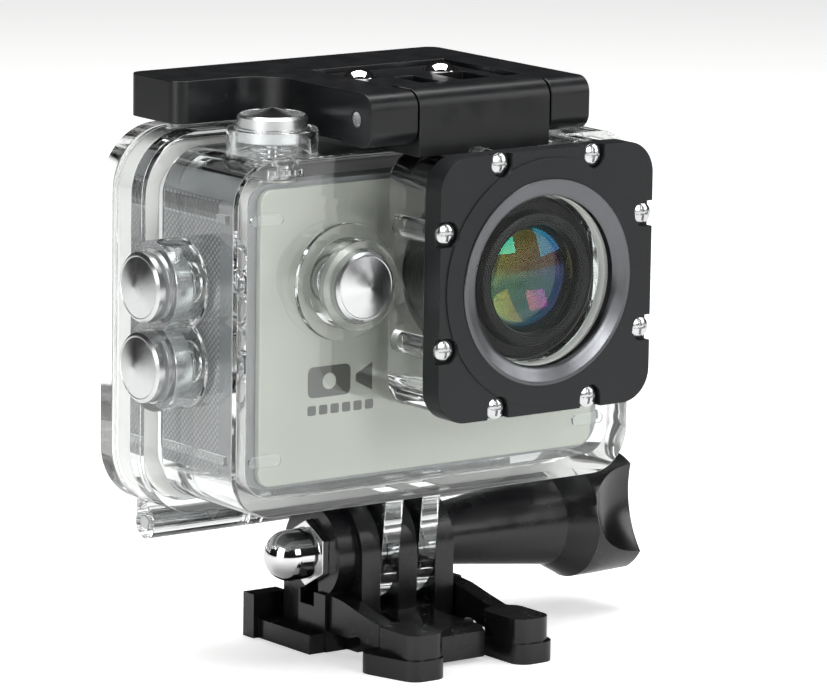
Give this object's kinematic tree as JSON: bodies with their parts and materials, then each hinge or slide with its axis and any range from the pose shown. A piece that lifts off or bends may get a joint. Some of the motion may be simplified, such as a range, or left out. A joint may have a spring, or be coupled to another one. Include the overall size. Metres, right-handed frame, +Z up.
{
  "type": "action camera",
  "caption": "Small box camera in a clear waterproof housing with a square lens port, push buttons, hinged rear door and top latch, tilting on a thumb-screw clamp and a slide-in buckle.",
  "frame": {"origin": "the buckle's flat underside, straight below the middle of the clamp screw and midway between the clamp fingers", "axes": "+X to the right seen from the front, along the clamp screw towards its knob; the lens looks along -Y; +Z up"},
  "size_m": [0.0818, 0.0412, 0.0794],
  "materials": {
    "black_abs": "moulded satin black ABS",
    "chrome_steel": "polished nickel-chrome plate",
    "zinc_steel": "bright zinc-plated steel",
    "clear_polycarbonate": "clear gloss polycarbonate",
    "charcoal_aluminium": "bead-blasted, charcoal anodised",
    "grey_ring": "satin grey anodised",
    "glass": "coated optical glass",
    "silicone": "white moulded silicone",
    "black_rubber": "black nitrile",
    "spun_aluminium": "spun, bright",
    "camera_casing": "textured grey ABS",
    "silver_paint": "satin silver-green paint",
    "black_lens_metal": "black anodised, ribbed inside",
    "screen_glass": "gloss black screen",
    "circuit_board": "green solder mask",
    "battery_wrap": "matt dark sleeve"
  },
  "bodies": {
    "buckle": {"buckle_base": "black_abs", "acorn_nut": "chrome_steel"},
    "clip_left": {"clip_arm_left": "black_abs"},
    "clip_right": {"clip_arm_right": "black_abs"},
    "thumb_screw": {"screw_stud": "zinc_steel", "screw_knob": "black_abs"},
    "housing": {"housing_shell": "clear_polycarbonate", "lens_bezel": "charcoal_aluminium", "lens_ring": "grey_ring", "bezel_screws": "zinc_steel", "port_glass": "glass", "port_seal": "silicone", "latch_base": "black_abs", "latch_rivets": "zinc_steel", "latch_pin": "zinc_steel", "hinge_pin": "zinc_steel", "button_orings": "black_rubber", "camera_shell": "camera_casing", "camera_back": "camera_casing", "faceplate": "silver_paint", "side_grips": "camera_casing", "screen": "screen_glass", "lens_barrel": "black_lens_metal", "lens_retainer": "black_lens_metal", "front_element": "glass", "inner_ring": "black_lens_metal", "rear_element": "glass", "image_sensor": "circuit_board", "main_board": "circuit_board", "battery": "battery_wrap", "battery_door": "camera_casing", "memory_card": "battery_wrap"},
    "door": {"rear_door": "clear_polycarbonate", "door_seal": "silicone"},
    "latch": {"latch_lever": "black_abs"},
    "front_button": {"front_cap": "spun_aluminium", "front_stem": "zinc_steel", "front_spring": "zinc_steel"},
    "top_button": {"top_cap": "spun_aluminium", "top_stem": "zinc_steel", "top_spring": "zinc_steel"},
    "up_button": {"up_cap": "spun_aluminium", "up_stem": "zinc_steel", "up_spring": "zinc_steel"},
    "down_button": {"down_cap": "spun_aluminium", "down_stem": "zinc_steel", "down_spring": "zinc_steel"},
    "power": {"power_key": "silver_paint"},
    "shutter": {"shutter_key": "silver_paint"},
    "up": {"up_key": "silver_paint"},
    "down": {"down_key": "silver_paint"}
  },
  "joints": [
    {"name": "tilt", "type": "hinge", "parent": "buckle", "child": "housing", "pos_m": [0, 0, 0.0132], "axis": [1, 0, 0], "range_deg": [-35, 60]},
    {"name": "clamp_screw", "type": "hinge", "parent": "buckle", "child": "thumb_screw", "pos_m": [0.02, 0, 0.0132], "axis": [1, 0, 0], "continuous": true},
    {"name": "clip_left_flex", "type": "hinge", "parent": "buckle", "child": "clip_left", "pos_m": [-0.0097, -0.00427, 0.005], "axis": [0, 0, 1], "range_deg": [0, 5], "stiffness_Nm_per_rad": 0.4},
    {"name": "clip_right_flex", "type": "hinge", "parent": "buckle", "child": "clip_right", "pos_m": [0.0097, -0.00427, 0.005], "axis": [0, 0, -1], "range_deg": [0, 5], "stiffness_Nm_per_rad": 0.4},
    {"name": "door_hinge", "type": "hinge", "parent": "housing", "child": "door", "pos_m": [0, 0.0124, 0.0173], "axis": [-1, 0, 0], "range_deg": [0, 150]},
    {"name": "latch_pivot", "type": "hinge", "parent": "housing", "child": "latch", "pos_m": [0.0018, -0.0164, 0.0752], "axis": [1, 0, 0], "range_deg": [0, 105]},
    {"name": "front_press", "type": "slide", "parent": "housing", "child": "front_button", "axis": [0, 1, 0], "range_m": [0, 0.0011], "stiffness_N_per_m": 800, "springref_m": -0.001, "deforming": ["front_spring"]},
    {"name": "top_press", "type": "slide", "parent": "housing", "child": "top_button", "axis": [0, 0, -1], "range_m": [0, 0.0011], "stiffness_N_per_m": 800, "springref_m": -0.001, "deforming": ["top_spring"]},
    {"name": "up_press", "type": "slide", "parent": "housing", "child": "up_button", "axis": [1, 0, 0], "range_m": [0, 0.0011], "stiffness_N_per_m": 800, "springref_m": -0.001, "deforming": ["up_spring"]},
    {"name": "down_press", "type": "slide", "parent": "housing", "child": "down_button", "axis": [1, 0, 0], "range_m": [0, 0.0011], "stiffness_N_per_m": 800, "springref_m": -0.001, "deforming": ["down_spring"]},
    {"name": "power_key_press", "type": "slide", "parent": "housing", "child": "power", "axis": [0, 1, 0], "range_m": [0, 0.0011]},
    {"name": "shutter_key_press", "type": "slide", "parent": "housing", "child": "shutter", "axis": [0, 0, -1], "range_m": [0, 0.0011]},
    {"name": "up_key_press", "type": "slide", "parent": "housing", "child": "up", "axis": [1, 0, 0], "range_m": [0, 0.0011]},
    {"name": "down_key_press", "type": "slide", "parent": "housing", "child": "down", "axis": [1, 0, 0], "range_m": [0, 0.0011]}
  ],
  "couplings": [
    {"joint": "power_key_press", "follows": "front_press", "ratio": 1},
    {"joint": "shutter_key_press", "follows": "top_press", "ratio": 1},
    {"joint": "up_key_press", "follows": "up_press", "ratio": 1},
    {"joint": "down_key_press", "follows": "down_press", "ratio": 1}
  ]
}
